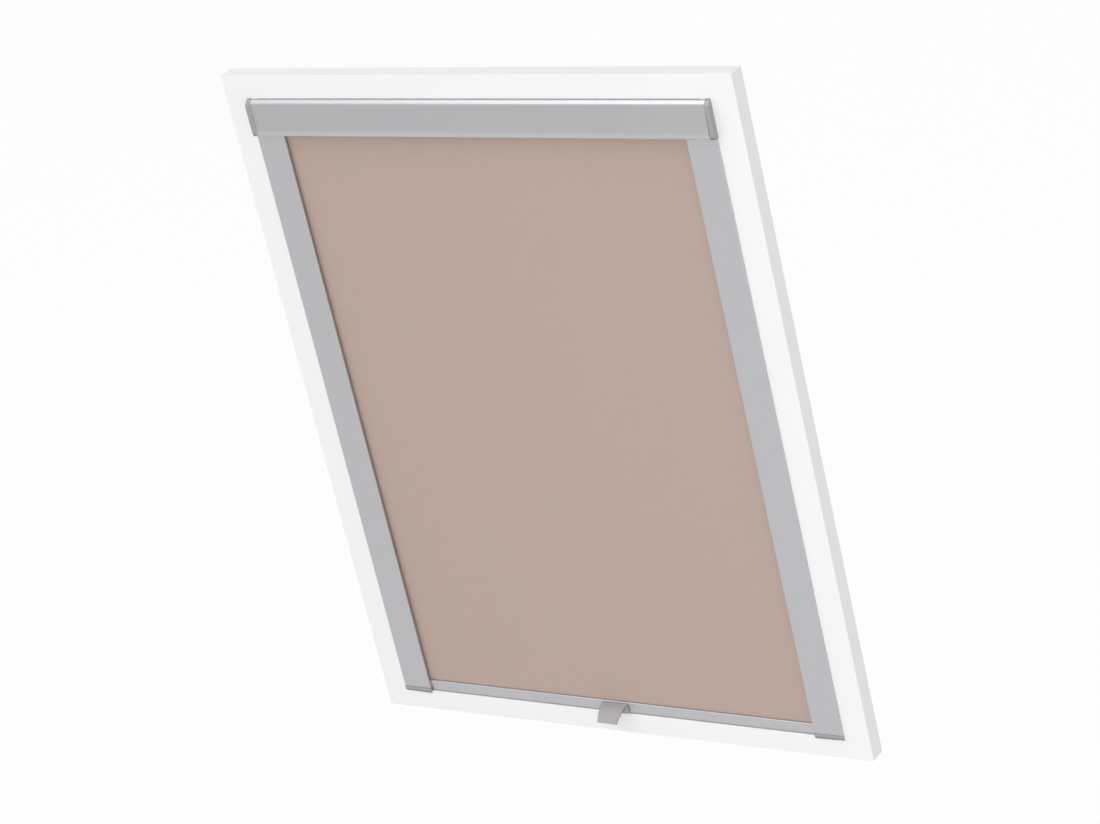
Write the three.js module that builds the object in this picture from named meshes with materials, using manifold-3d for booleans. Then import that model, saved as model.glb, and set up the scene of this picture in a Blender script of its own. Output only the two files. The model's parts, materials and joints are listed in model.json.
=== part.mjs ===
// A roller blind for a skylight, together with the white surround that it is fitted to. A sprung
// roller turns in a cassette at the head, two rails guide the bottom bar, and a handle pulls it.
// Millimetres. X runs across the window, +Y into the wall and +Z up. Inside the product, y = 0 is
// the front face of the surround and z = 0 is its lower edge.
import * as THREE from 'three';
import { mergeVertices } from 'three/addons/utils/BufferGeometryUtils.js';
import Module from 'manifold-3d';

// Whole product
const blindWidth = 612; // over the outer edges of the side rails
const blindHeight = 783.5; // from the cassette's top down to the underside of the rail end caps
const clearance = 0.3; // left between pieces that seat on, or fit into, each other
const cutOverrun = 1; // how far a cutter, or a part to be joined, runs past the face it meets
const mitreLimitShare = 0.5; // keeps a wall's corner no longer than twice the wall

// Surround: four rebated members with stub tenons at the corners
const sideMargin = 32; // white face left showing beside each rail
const topMargin = 28.5;
const bottomMargin = 23;
const railLap = 12; // how far a rail lies on the face of its jamb
const frontDepth = 22;
const rearDepth = 20;
const rebateWidth = 16; // outer rebate behind the front depth
const headGap = 0.3; // air between the cassette and the head
const sillHeight = 25.9;
const tenonLength = 14;
const tenonThickness = 8;
const tenonShoulder = 5;

// Side rails: a flat face with a lipped channel behind its inner part
const railWidth = 38;
const railWall = 1.7;
const channelDepth = 9.6;
const channelLip = 1.5;
const channelLipWall = 1.2;
const backFlangeSetback = 2; // the channel's back edge stops this far short of the face's edge
const railTopGap = 0.8; // between the rail and the cassette above it
const railScrewShares = [0.12, 0.5, 0.88]; // heights of the screws along the rail

// Rail end caps
const railCapHeight = 7.5;
const railCapProud = 0.7;
const railCapTaper = 1.8; // how far the front slopes back to the underside
const railCapTaperHeight = 4.6;
const railCapRise = 1.2; // how much higher the underside is at the rail's outer edge
const railCapFloor = 1;
const railCapLegWidth = 2.1;
const railCapLegHeight = 14;

// Screws
const screwRadius = 1.75;
const screwHeadRadius = 3.5;
const screwHeadHeight = 1.7;
const screwHeadCrown = 0.7;
const screwLength = 16;
const screwPoint = 3;

// Cassette
const cassetteProud = 6; // how far the cover stands in front of the surround
const rollAllowance = 3.75; // cloth on the tube when the blind is fully up
const rollAir = 2; // left round the full roll
const coverWall = 1.4;
const coverShoulder = 5.4; // the slope along the top edge, as deep as it is high
const coverShoulderBend = 3.2; // radius of the bends into the slope
const coverTopFlange = 7;
const coverLipHeight = 8.5;
const coverLipFlare = 1.5; // how far the lip sweeps forward from the face
const coverLipRound = 1.6;
const coverFoot = 3.4;
const backWall = 1.4;
const backFrontHook = 3;
const backFloor = 23;
const backFloorHook = 3;

// Cassette end caps
const capRimWidth = 6;
const capOverhang = 1.2; // past the outer edge of the rail
const capProud = 0.6;
const capDrop = 1.5; // how far the rim hangs in front of the rail's top
const capPlate = 2.7;
const capBridge = 3.2;
const capEndMargin = 2.2; // between the plate's edge and the ends of the cassette
const capBossRadius = 6.5;
const capBossHeight = 2.2;

// Mounting brackets
const bracketWall = 1.5;
const bracketMargin = 4; // the bracket's plate is this much smaller than the cassette's end
const bracketShelf = 7.5;
const bracketSlotShares = [[0.24, 0.76], [0.76, 0.24]]; // screw places in depth and height

// Roller, with its spring
const tubeRadius = 12.5;
const tubeWall = 1.2;
const tubeRibWidth = 1.8; // two ribs inside the tube drive the plugs
const tubeRibHeight = 1.2;
const tubeEndGap = 4.6; // from the tube's end to the end cap's plate
const plugFlange = 1.6;
const plugFlangeInset = 0.4;
const plugLength = 24;
const pinRadius = 3;
const pinLength = 24;
const shaftRadius = 3.6;
const shaftOverhang = 9.5; // past the drive plug
const shaftTongue = 4.4; // across the flats of the tongue that keys into the end cap
const collarRadius = 8.6;
const collarLength = 9;
const drivePlugLength = 12;
const springWire = 1.6;
const springRadius = 7.4;
const springPitch = 2.7;
const springCurls = 38;
const springSeatCurls = 3; // curls at each end that sit on a hub

// Fabric
const fabricThickness = 0.4;
const fabricEdgeInset = 0.5; // the fabric is this much narrower than the bar at each edge
const windPitch = 0.85;
const windTurns = 2.5; // turns that stay on the roller when the blind is down

// Bottom bar
const barHeight = 12.6;
const barWall = 1.1;
const barEase = 0.8;
const barSlot = 1.3;
const rodRadius = 1.5;
const rodRoof = 1.3; // bar material over the rod's chamber

// Bar sliders and their brakes
const sliderHeadWidth = 12.7;
const sliderWebGap = 3; // room for the screw heads in the channel
const sliderTongue = 20;
const sliderEase = 1;
const brakePadWidth = 8;
const brakePadHeight = 6.5;
const brakePadThickness = 2.2;
const brakePocketDepth = 5;
const brakeLeaf = 0.45;

// Handle
const handleWidth = 35;
const handleTipWidth = 26.6;
const handleReach = 25.5;
const handleDrop = 13.6; // from the handle's top edge down to its tip
const handleTopInset = 1.3; // below the bar's top edge
const handleWall = 2;
const handleTipWall = 1.5;
const handleSwellShare = 0.55; // where along the reach the lip's curve is fullest
const handleRib = 2;
const handleRibShare = 0.4; // how far along the lip the ribs reach
const handleRibFoot = 1.4;
const handleRibGap = 0.5; // between an outer rib and the screw boss beside it
const handleScrewInset = 6.5; // from the handle's side to the middle of its screw
const handleScrewRadius = 1.2;
const handleScrewHeadRadius = 2.4;
const handleScrewHeadHeight = 1.3;
const handleBossRadius = 2.6;
const handleBossLength = 1.6;

// Facets
const roundSides = 24;
const screwSides = 12;
const arcSteps = 6;
const springSteps = 8;
const springSides = 5;
const windSteps = 24;

// Places that several pieces share
const railOuter = blindWidth / 2;
const railInner = railOuter - railWidth;
const jambInner = railOuter - railLap;
const jambOuter = railOuter + sideMargin;
const surroundHeight = bottomMargin + blindHeight + topMargin;
const surroundDepth = frontDepth + rearDepth;
const openingTop = bottomMargin + blindHeight + headGap;
const rollSpace = tubeRadius + rollAllowance + rollAir;
const rollerMiddleZ = capEndMargin + backWall + rollSpace;
const cassetteHeight = rollerMiddleZ + rollSpace + backWall + clearance + coverWall;
const cassetteBottom = bottomMargin + blindHeight - cassetteHeight;
const railBottom = bottomMargin + railCapHeight;
const railTop = cassetteBottom - railTopGap;
const railFace = -clearance - railWall;
const webOuter = jambInner - clearance;
const webInner = webOuter - railWall;
const channelBack = channelDepth - clearance;
const barMiddle = channelDepth / 2 - clearance;
const barThickness = channelDepth - 2 * (channelLip + clearance);
const sliderThickness = channelDepth - 2 * clearance;
const sliderOuter = webInner - sliderWebGap;
const barHalf = sliderOuter - sliderHeadWidth - clearance;
const barBottom = sillHeight + railCapFloor + 2 * clearance;
const rodMiddle = barHeight - rodRoof - rodRadius - clearance;
const capOuter = railOuter + capOverhang;
const coverHalf = capOuter - capRimWidth - clearance;
const bracketInner = webOuter - bracketWall;
const capPlateOuter = bracketInner - clearance;
const capPlateInner = capPlateOuter - capPlate;
const windRadius = tubeRadius + clearance + fabricThickness / 2 + windPitch * windTurns;
const rollerMiddleY = barMiddle + windRadius;
const cassetteDepth = rollerMiddleY + rollSpace + backWall; // behind the surround's face
const tubeHalf = capPlateInner - tubeEndGap;

const xAxis = new THREE.Vector3(1, 0, 0);
const yAxis = new THREE.Vector3(0, 1, 0);
const zAxis = new THREE.Vector3(0, 0, 1);
const quarterTurn = Math.PI / 2;

// Outlines and the solids that are made from them

function outline(points) {
  return new THREE.Shape(points.map(([a, b]) => new THREE.Vector2(a, b)));
}

function arcPoints(middleA, middleB, radius, fromAngle, toAngle) {
  return Array.from({ length: arcSteps + 1 }, (_, step) => {
    const angle = fromAngle + ((toAngle - fromAngle) * step) / arcSteps;
    return [middleA + radius * Math.cos(angle), middleB + radius * Math.sin(angle)];
  });
}

// A wall of even or tapering thickness that follows a line of points, on the line's left side.
function wallAlong(points, thickness, endThickness = thickness) {
  const line = points.map(([a, b]) => new THREE.Vector2(a, b));
  const inner = line.map((point, index) => {
    const before = point.clone().sub(line[Math.max(index - 1, 0)]).normalize();
    const after = line[Math.min(index + 1, line.length - 1)].clone().sub(point).normalize();
    const along = before.add(after).normalize();
    const reference = (index === 0 ? after : point.clone().sub(line[index - 1])).normalize();
    const share = index / (line.length - 1);
    const wall = thickness + (endThickness - thickness) * share;
    const reach = wall / Math.max(along.dot(reference), mitreLimitShare);
    return [point.x - along.y * reach, point.y + along.x * reach];
  });
  return outline([...points, ...inner.reverse()]);
}

function roundedRectangle(fromA, toA, fromB, toB, radius) {
  return outline([
    ...arcPoints(toA - radius, toB - radius, radius, 0, quarterTurn),
    ...arcPoints(fromA + radius, toB - radius, radius, quarterTurn, 2 * quarterTurn),
    ...arcPoints(fromA + radius, fromB + radius, radius, 2 * quarterTurn, 3 * quarterTurn),
    ...arcPoints(toA - radius, fromB + radius, radius, 3 * quarterTurn, 4 * quarterTurn),
  ]);
}

function extruded(shape, depth) {
  return new THREE.ExtrudeGeometry(shape, { depth, bevelEnabled: false, curveSegments: arcSteps });
}

// An outline in Y and Z, run along X.
function alongX(shape, from, to) {
  const turn = new THREE.Matrix4().makeBasis(yAxis, zAxis, xAxis);
  return extruded(shape, to - from).applyMatrix4(turn).translate(from, 0, 0);
}

// An outline in X and Z, run along Y.
function alongY(shape, from, to) {
  return extruded(shape, to - from).rotateX(quarterTurn).translate(0, to, 0);
}

// An outline in X and Y, run along Z.
function alongZ(shape, from, to) {
  return extruded(shape, to - from).translate(0, 0, from);
}

function block([fromX, toX], [fromY, toY], [fromZ, toZ]) {
  const box = new THREE.BoxGeometry(toX - fromX, toY - fromY, toZ - fromZ);
  return box.translate((fromX + toX) / 2, (fromY + toY) / 2, (fromZ + toZ) / 2);
}

// A profile of [radius, place] points turned about X, with places along +X.
function turnedAboutX(profile, sides = roundSides) {
  const points = profile.map(([radius, place]) => new THREE.Vector2(radius, place));
  return new THREE.LatheGeometry(points, sides).rotateZ(-quarterTurn);
}

function rod(radius, from, to, sides = roundSides) {
  return turnedAboutX([[0, from], [radius, from], [radius, to], [0, to]], sides);
}

function pipe(outerRadius, innerRadius, from, to, sides = roundSides) {
  return turnedAboutX([
    [innerRadius, from],
    [outerRadius, from],
    [outerRadius, to],
    [innerRadius, to],
    [innerRadius, from],
  ], sides);
}

// The same interval on the right side, or mirrored to the left side.
function onSide(side, from, to) {
  return side > 0 ? [from, to] : [-to, -from];
}

// Cuts and joins

const wasm = await Module();
wasm.setup();

function toSolid(geometry) {
  const bare = geometry.clone();
  bare.deleteAttribute('normal');
  bare.deleteAttribute('uv');
  const merged = mergeVertices(bare);
  return new wasm.Manifold(new wasm.Mesh({
    numProp: 3,
    vertProperties: merged.getAttribute('position').array,
    triVerts: new Uint32Array(merged.index.array),
  }));
}

function toGeometry(solid) {
  const mesh = solid.getMesh();
  const geometry = new THREE.BufferGeometry();
  geometry.setAttribute('position', new THREE.BufferAttribute(mesh.vertProperties, mesh.numProp));
  geometry.setIndex(new THREE.BufferAttribute(mesh.triVerts, 1));
  geometry.computeVertexNormals();
  return geometry;
}

function cut(geometry, cutters) {
  return toGeometry(cutters.reduce((solid, cutter) => solid.subtract(toSolid(cutter)), toSolid(geometry)));
}

function join(geometries) {
  const [first, ...others] = geometries.map(toSolid);
  return toGeometry(others.reduce((solid, other) => solid.add(other), first));
}

function common(first, second) {
  return toGeometry(toSolid(first).intersect(toSolid(second)));
}

// Finishes: every piece gets a material of its own

function finish(color, roughness, metalness) {
  return () => new THREE.MeshStandardMaterial({ color, roughness, metalness });
}

const whitePaint = finish(0xf4f4f5, 0.45, 0);
const aluminium = finish(0xbababd, 0.38, 0.7);
const coverAluminium = finish(0xaeaeb0, 0.34, 0.75);
const capPlastic = finish(0x9c9a9d, 0.5, 0);
const darkPlastic = finish(0x8a888b, 0.55, 0);
const handlePlastic = finish(0xb0aeb1, 0.48, 0);
const sliderPlastic = finish(0x6f6e71, 0.5, 0);
const steel = finish(0xa4a6a8, 0.3, 0.9);
const springSteel = finish(0x5e6064, 0.32, 0.9);
const felt = finish(0x4a484a, 0.95, 0);
const cloth = finish(0xbca79c, 0.92, 0);

function piece(group, name, geometry, material) {
  const mesh = new THREE.Mesh(geometry, material());
  mesh.name = name;
  group.add(mesh);
  return mesh;
}

function subGroup(parent, x, y, z) {
  const group = new THREE.Group();
  group.position.set(x, y, z);
  parent.add(group);
  return group;
}

// Screws, with the underside of the head at 0 and the shank towards +X

function screw(radius, headRadius, headHeight, length, point) {
  return turnedAboutX([
    [0, -headHeight],
    [headRadius - screwHeadCrown, -headHeight],
    [headRadius, -headHeight / 2],
    [headRadius, 0],
    [radius, 0],
    [radius, length - point],
    [0, length],
  ], screwSides);
}

function screwHole(radius, from, to) {
  return rod(radius + clearance, from, to, screwSides);
}

const woodScrew = () => screw(screwRadius, screwHeadRadius, screwHeadHeight, screwLength, screwPoint);

function sideScrewHoles(side, from, to, places) {
  return places.map(([y, z]) => screwHole(screwRadius, ...onSide(side, from, to)).translate(0, y, z));
}

// Where the screws go through the rails and the brackets, seen in y and z

const railScrewPlaces = railScrewShares.map((share) => [
  barMiddle,
  railBottom + (railTop - railBottom) * share,
]);
const bracketFront = bracketMargin - clearance;
const bracketBack = cassetteDepth - bracketMargin;
const bracketLow = bracketMargin;
const bracketHigh = cassetteHeight - bracketMargin;
const bracketScrewPlaces = bracketSlotShares.map(([depthShare, heightShare]) => [
  bracketFront + (bracketBack - bracketFront) * depthShare,
  bracketLow + (bracketHigh - bracketLow) * heightShare,
]);

const blind = new THREE.Group();
// The origin is the middle of the sill's back face, which is the sill's height less its rebate.
const product = subGroup(blind, 0, -surroundDepth, -(rebateWidth + sillHeight) / 2);

// Surround. The jambs run the full height, and the head and the sill are tenoned into them.

function memberSection(outerEdge, innerEdge) {
  const outward = Math.sign(outerEdge - innerEdge);
  return [
    [innerEdge, 0],
    [outerEdge, 0],
    [outerEdge, frontDepth],
    [outerEdge - outward * rebateWidth, frontDepth],
    [outerEdge - outward * rebateWidth, surroundDepth],
    [innerEdge, surroundDepth],
  ];
}

const tenonMiddle = frontDepth / 2;

function tenonSpan(low, high) {
  return [low + tenonShoulder, high - tenonShoulder];
}

function tenon(side, low, high, play) {
  const across = onSide(side, jambInner - cutOverrun, jambInner + tenonLength + play);
  const [from, to] = tenonSpan(low, high);
  const half = tenonThickness / 2 + play;
  return block(across, [tenonMiddle - half, tenonMiddle + half], [from - play, to + play]);
}

function jamb(side) {
  const section = memberSection(jambOuter, jambInner).map(([x, y]) => [side * x, y]);
  const rebateX = onSide(side, jambInner - cutOverrun, jambOuter + cutOverrun);
  const rebateY = [frontDepth, surroundDepth + cutOverrun];
  return cut(alongZ(outline(section), 0, surroundHeight), [
    block(rebateX, rebateY, [-cutOverrun, rebateWidth]),
    block(rebateX, rebateY, [surroundHeight - rebateWidth, surroundHeight + cutOverrun]),
    tenon(side, 0, sillHeight, clearance),
    tenon(side, openingTop, surroundHeight, clearance),
    ...sideScrewHoles(side, jambInner - cutOverrun, jambInner + screwLength, railScrewPlaces),
    ...sideScrewHoles(side, jambInner - cutOverrun, jambInner + screwLength, bracketScrewPlaces)
      .map((hole) => hole.translate(0, 0, cassetteBottom)),
  ]);
}

function crossMember(outerEdge, innerEdge) {
  const section = memberSection(outerEdge, innerEdge).map(([z, y]) => [y, z]);
  const half = jambInner - clearance;
  const [low, high] = [Math.min(outerEdge, innerEdge), Math.max(outerEdge, innerEdge)];
  return join([
    alongX(outline(section), -half, half),
    tenon(-1, low, high, 0),
    tenon(1, low, high, 0),
  ]);
}

const surround = subGroup(product, 0, 0, 0);
piece(surround, 'surround_head', crossMember(surroundHeight, openingTop), whitePaint);
piece(surround, 'surround_sill', crossMember(0, sillHeight), whitePaint);
piece(surround, 'surround_jamb_left', jamb(-1), whitePaint);
piece(surround, 'surround_jamb_right', jamb(1), whitePaint);

// Cassette front cover: a sloping shoulder along the top, a plain face and a lip that sweeps forward

const coverFaceY = -cassetteProud;
const coverLipY = coverFaceY - coverLipFlare;

// The shoulder's size on a line that runs inside the cover's outer line, or outside it if negative.
function shoulderAt(inset) {
  return coverShoulder - inset * (2 - Math.SQRT2);
}

function shoulderLine(front, top, size, bend) {
  return [
    ...arcPoints(front + bend, top - size, bend, 2 * quarterTurn, 1.5 * quarterTurn),
    ...arcPoints(front + size, top - bend, bend, 1.5 * quarterTurn, quarterTurn),
  ];
}

function lipLine() {
  const sweep = Array.from({ length: arcSteps }, (_, step) => {
    const share = 1 - step / arcSteps;
    return [
      coverFaceY - coverLipFlare * share * share,
      coverLipHeight - (coverLipHeight - coverLipRound) * share,
    ];
  });
  const middleY = coverLipY + coverLipRound;
  const round = arcPoints(middleY, coverLipRound, coverLipRound, 3 * quarterTurn, 2 * quarterTurn);
  return [...round.slice(0, -1), ...sweep, [coverFaceY, coverLipHeight]];
}

function coverLine() {
  return [
    [coverFaceY + coverFoot, 0],
    ...lipLine(),
    ...shoulderLine(coverFaceY, cassetteHeight, coverShoulder, coverShoulderBend),
    [coverTopFlange, cassetteHeight],
  ];
}

function coverGeometry() {
  const cutter = (side) => block(
    onSide(side, jambInner - clearance, coverHalf + cutOverrun),
    [-clearance, coverTopFlange + cutOverrun],
    [-cutOverrun, cassetteHeight + cutOverrun],
  );
  const profile = wallAlong([...coverLine()].reverse(), coverWall);
  return cut(alongX(profile, -coverHalf, coverHalf), [cutter(-1), cutter(1)]);
}

const cassette = subGroup(product, 0, 0, cassetteBottom);
piece(cassette, 'cassette_front_cover', coverGeometry(), coverAluminium);

// Cassette back profile: a roof under the cover's flange, a back and a floor short of the fabric

function backGeometry() {
  const roof = cassetteHeight - coverWall - clearance;
  const front = barMiddle - barThickness / 2;
  const line = [
    [front, roof - backFrontHook],
    [front, roof],
    [cassetteDepth, roof],
    [cassetteDepth, capEndMargin],
    [cassetteDepth - backFloor, capEndMargin],
    [cassetteDepth - backFloor, capEndMargin + backFloorHook],
  ];
  const half = capPlateInner - clearance;
  return alongX(wallAlong(line.reverse(), backWall), -half, half);
}

piece(cassette, 'cassette_back_profile', backGeometry(), aluminium);

// Cassette end caps: a rim that finishes the cover and rounds back to the rail's face below it, a
// bridge behind the cover and, inside the opening, a plate with a boss that carries the roller

const capFrontY = coverLipY - capProud;
const capRimInner = coverHalf + clearance;
const capRimTop = cassetteHeight + capProud;
const capRimFoot = clearance - railTopGap;
const capPlateFront = coverFaceY + coverWall + clearance;
const capPlateTop = cassetteHeight - coverWall - clearance;
const capPlateShoulder = shoulderAt(coverWall + clearance);

function capRim(side) {
  const shoulder = shoulderAt(-capProud) + coverLipFlare;
  const rail = railFace - clearance;
  const toe = rail - capFrontY;
  return alongX(outline([
    [-clearance, capRimFoot],
    [rail, capRimFoot],
    ...arcPoints(rail, toe - capDrop, toe, 3 * quarterTurn, 2 * quarterTurn),
    ...shoulderLine(capFrontY, capRimTop, shoulder, coverShoulderBend + capProud),
    [-clearance, capRimTop],
  ]), ...onSide(side, capRimInner, capOuter));
}

function capPlateGeometry(side) {
  return alongX(outline([
    [capPlateFront, capEndMargin],
    [cassetteDepth, capEndMargin],
    [cassetteDepth, capPlateTop],
    [capPlateFront + capPlateShoulder, capPlateTop],
    [capPlateFront, capPlateTop - capPlateShoulder],
  ]), ...onSide(side, capPlateInner, capPlateOuter));
}

function capGeometry(side) {
  const bridge = block(
    onSide(side, capPlateInner, capRimInner + cutOverrun),
    [capPlateFront, capPlateFront + capBridge],
    [capEndMargin, capPlateTop - capPlateShoulder],
  );
  const bossInner = capPlateInner - capBossHeight;
  const boss = rod(capBossRadius, ...onSide(side, bossInner, capPlateInner + cutOverrun))
    .translate(0, rollerMiddleY, rollerMiddleZ);
  const throughBoss = onSide(side, bossInner - cutOverrun, capPlateOuter + cutOverrun);
  const bore = rod(pinRadius + clearance, ...throughBoss).translate(0, rollerMiddleY, rollerMiddleZ);
  const halfFlat = shaftTongue / 2 + clearance;
  const halfWide = shaftRadius + clearance;
  const socket = block(
    throughBoss,
    [rollerMiddleY - halfFlat, rollerMiddleY + halfFlat],
    [rollerMiddleZ - halfWide, rollerMiddleZ + halfWide],
  );
  const body = join([capRim(side), bridge, capPlateGeometry(side), boss]);
  return cut(body, [
    side < 0 ? bore : socket,
    ...bracketScrewPlaces.map(([y, z]) => rod(
      screwHeadRadius + clearance,
      ...onSide(side, capPlateInner - cutOverrun, capPlateOuter + cutOverrun),
      screwSides,
    ).translate(0, y, z)),
  ]);
}

// Mounting brackets: a plate on the jamb and a shelf under the end cap

function bracketGeometry(side) {
  const shelfTop = capEndMargin - clearance;
  const plate = block(
    onSide(side, bracketInner, webOuter),
    [bracketFront, bracketBack],
    [shelfTop - bracketWall, bracketHigh],
  );
  const shelf = block(
    onSide(side, webOuter - bracketShelf, webOuter),
    [bracketFront, bracketBack],
    [shelfTop - bracketWall, shelfTop],
  );
  const holes = sideScrewHoles(side, bracketInner - cutOverrun, webOuter + cutOverrun, bracketScrewPlaces);
  return cut(join([plate, shelf]), holes);
}

function placeSideScrews(group, side, name, seatX, places) {
  places.forEach(([y, z], index) => {
    const mesh = piece(group, `${name}_${index + 1}`, woodScrew(), steel);
    mesh.position.set(side * (seatX - clearance), y, z);
    mesh.rotation.z = side > 0 ? 0 : 2 * quarterTurn;
  });
}

const sides = [[-1, 'left'], [1, 'right']];

for (const [side, word] of sides) {
  piece(cassette, `cassette_end_cap_${word}`, capGeometry(side), capPlastic);
  piece(cassette, `mounting_bracket_${word}`, bracketGeometry(side), steel);
  placeSideScrews(cassette, side, `bracket_screw_${word}`, bracketInner, bracketScrewPlaces);
}

// Roller. It turns on the idler pin at the left and on the fixed spring shaft at the right.

const plugOuter = tubeHalf + clearance + plugFlange;
const plugBodyRadius = tubeRadius - tubeWall - clearance;
const shaftOuter = capPlateOuter - clearance;
const shaftBore = shaftRadius + clearance;
const fabricHalf = barHalf - fabricEdgeInset;

function plugProfile(bore) {
  const shoulder = tubeHalf + clearance;
  return [
    [bore, shoulder - plugLength],
    [plugBodyRadius, shoulder - plugLength],
    [plugBodyRadius, shoulder],
    [tubeRadius - plugFlangeInset, shoulder],
    [tubeRadius - plugFlangeInset, plugOuter],
    [bore, plugOuter],
  ];
}

// The tube's ribs, or with some play the grooves for them in the plugs.
function tubeRibs(from, to, outer, play) {
  const half = tubeRibWidth / 2 + play;
  const inner = tubeRadius - tubeWall - tubeRibHeight - play;
  return [-1, 1].map((side) => block([from, to], onSide(side, inner, outer), [-half, half]));
}

function tubeGeometry() {
  const wall = pipe(tubeRadius, tubeRadius - tubeWall, -tubeHalf, tubeHalf);
  return join([wall, ...tubeRibs(-tubeHalf, tubeHalf, tubeRadius - tubeWall / 2, 0)]);
}

function plugGrooves(from, to) {
  return tubeRibs(from, to, tubeRadius + cutOverrun, clearance);
}

function idlerPlugGeometry() {
  const bore = rod(pinRadius + clearance, shaftOuter - pinLength - clearance, plugOuter + cutOverrun);
  const shoulder = tubeHalf + clearance;
  const grooves = plugGrooves(shoulder - plugLength - cutOverrun, shoulder);
  return cut(turnedAboutX(plugProfile(0)), [bore, ...grooves]).rotateZ(2 * quarterTurn);
}

function bearingPlugGeometry() {
  const profile = plugProfile(shaftBore);
  const shoulder = tubeHalf + clearance;
  const grooves = plugGrooves(shoulder - plugLength - cutOverrun, shoulder);
  return cut(turnedAboutX([...profile, profile[0]]), grooves);
}

function shaftGeometry() {
  const tongueStart = capPlateInner - capBossHeight - clearance;
  const flat = (direction) => block(
    [tongueStart, shaftOuter + cutOverrun],
    [direction * shaftRadius * 2, direction * shaftTongue / 2].sort((a, b) => a - b),
    [-shaftRadius - cutOverrun, shaftRadius + cutOverrun],
  );
  const shaftInner = drivePlugOuter - drivePlugLength - shaftOverhang;
  return cut(rod(shaftRadius, shaftInner, shaftOuter), [flat(-1), flat(1)]);
}

const collarOuter = tubeHalf + clearance - plugLength - clearance;
const collarInner = collarOuter - collarLength;
const springOuter = collarInner - clearance - springWire / 2;
const springInner = springOuter - springCurls * springPitch;
const drivePlugOuter = springInner - springWire / 2 - clearance;

// Both ends of the spring sit on a hub, one on the fixed collar and one on the plug that it drives.
const hubLength = springSeatCurls * springPitch;
const hubRadius = springRadius * Math.cos((2 * quarterTurn) / springSteps) - springWire / 2 - clearance;

function hubbed(radius, face, back) {
  const hubEnd = face + Math.sign(face - back) * hubLength;
  const profile = [
    [shaftBore, back],
    [radius, back],
    [radius, face],
    [hubRadius, face],
    [hubRadius, hubEnd],
    [shaftBore, hubEnd],
    [shaftBore, back],
  ];
  return turnedAboutX(face > back ? profile : profile.reverse());
}

function drivePlugGeometry() {
  const inner = drivePlugOuter - drivePlugLength;
  const body = hubbed(plugBodyRadius, drivePlugOuter, inner);
  return cut(body, plugGrooves(inner - cutOverrun, drivePlugOuter + cutOverrun));
}

// One unbroken coil of wire about X, with closed ends.
function coilPoints() {
  return Array.from({ length: springCurls * springSteps + 1 }, (_, step) => {
    const angle = (step / springSteps) * 4 * quarterTurn;
    return new THREE.Vector3(
      springInner + (springPitch * step) / springSteps,
      springRadius * Math.cos(angle),
      springRadius * Math.sin(angle),
    );
  });
}

function coilGeometry(points) {
  const positions = [];
  const index = [];
  points.forEach((point, step) => {
    const along = points[Math.min(step + 1, points.length - 1)].clone()
      .sub(points[Math.max(step - 1, 0)]).normalize();
    const outward = new THREE.Vector3(0, point.y, point.z).normalize();
    outward.addScaledVector(along, -outward.dot(along)).normalize();
    const across = along.clone().cross(outward);
    for (let side = 0; side < springSides; side += 1) {
      const angle = (side / springSides) * 4 * quarterTurn;
      const rim = point.clone()
        .addScaledVector(outward, (springWire / 2) * Math.cos(angle))
        .addScaledVector(across, (springWire / 2) * Math.sin(angle));
      positions.push(rim.x, rim.y, rim.z);
      if (step > 0) {
        const next = (side + 1) % springSides;
        const [a, b] = [(step - 1) * springSides + side, (step - 1) * springSides + next];
        const [c, d] = [a + springSides, b + springSides];
        index.push(a, b, d, a, d, c);
      }
    }
  });
  const last = (points.length - 1) * springSides;
  for (let side = 1; side < springSides - 1; side += 1) {
    index.push(0, side + 1, side, last, last + side, last + side + 1);
  }
  const geometry = new THREE.BufferGeometry();
  geometry.setAttribute('position', new THREE.Float32BufferAttribute(positions, 3));
  geometry.setIndex(index);
  geometry.computeVertexNormals();
  return geometry;
}

// The fabric that stays on the tube, from the point where the sheet leaves it at the front.
function windPoints() {
  const steps = Math.round(windTurns * windSteps);
  return Array.from({ length: steps + 1 }, (_, step) => {
    const angle = 2 * quarterTurn - (step / windSteps) * 4 * quarterTurn;
    const radius = windRadius - (windPitch * step) / windSteps;
    return [radius * Math.cos(angle), radius * Math.sin(angle)];
  });
}

function windGeometry() {
  const half = fabricThickness / 2;
  const outer = windPoints().map(([y, z]) => {
    const radius = Math.hypot(y, z);
    return [y * (1 + half / radius), z * (1 + half / radius)];
  });
  const inner = windPoints().map(([y, z]) => {
    const radius = Math.hypot(y, z);
    return [y * (1 - half / radius), z * (1 - half / radius)];
  });
  return alongX(outline([...outer, ...inner.reverse()]), -fabricHalf, fabricHalf);
}

// The least gap between one turn and the next, measured on points of both.
function leastGap(points, turnSteps, thickness) {
  const distances = points.slice(turnSteps).flatMap((point, index) => (
    [-1, 0, 1].filter((shift) => points[index + shift]).map((shift) => (
      Math.hypot(...point.map((value, axis) => value - points[index + shift][axis]))
    ))
  ));
  return Math.min(...distances) - thickness;
}

const springLine = coilPoints();
const springGap = leastGap(springLine.map((point) => point.toArray()), springSteps, springWire);
const windGap = leastGap(windPoints(), windSteps, fabricThickness);
console.log(`least gap in the spring ${springGap.toFixed(2)} mm`);
console.log(`least gap in the wound fabric ${windGap.toFixed(2)} mm`);

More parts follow.
